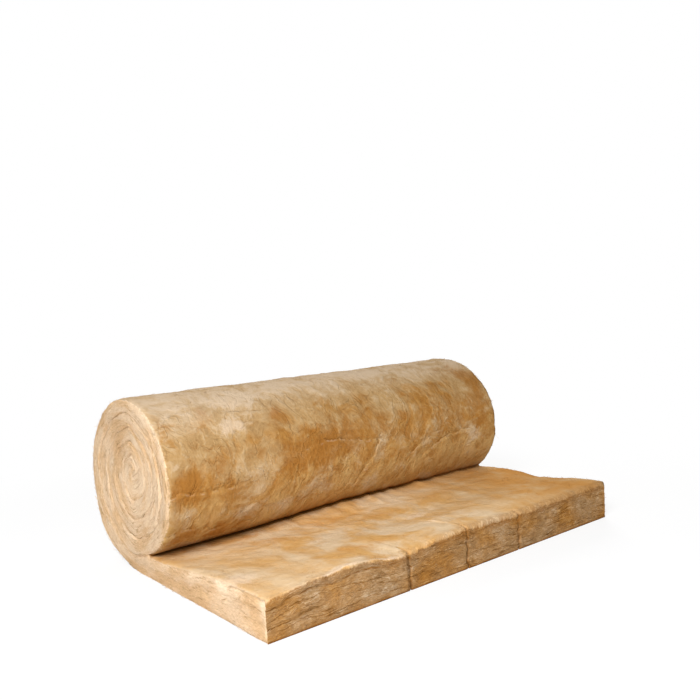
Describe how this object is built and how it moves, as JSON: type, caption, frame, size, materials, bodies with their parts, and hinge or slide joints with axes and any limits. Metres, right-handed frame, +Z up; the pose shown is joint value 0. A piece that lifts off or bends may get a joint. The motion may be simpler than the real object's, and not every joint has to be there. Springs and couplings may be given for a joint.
{
  "type": "insulation roll",
  "caption": "Roll of golden glass wool insulation mat, partly unrolled: a soft sagging spiral that lies on its own laid-out tail, with part-cuts in the end for splitting it into strips.",
  "frame": {"origin": "centre of the footprint, on the floor that the mat lies on", "axes": "+X along the axis of the roll, -Y from the roll towards the cut end of the tail, +Z up"},
  "size_m": [1.16, 0.8562, 0.4408],
  "materials": {
    "glass_wool": "matte, fibrous, mottled from cream to ochre"
  },
  "bodies": {
    "root": {"glass_wool_mat": "glass_wool"}
  },
  "joints": []
}
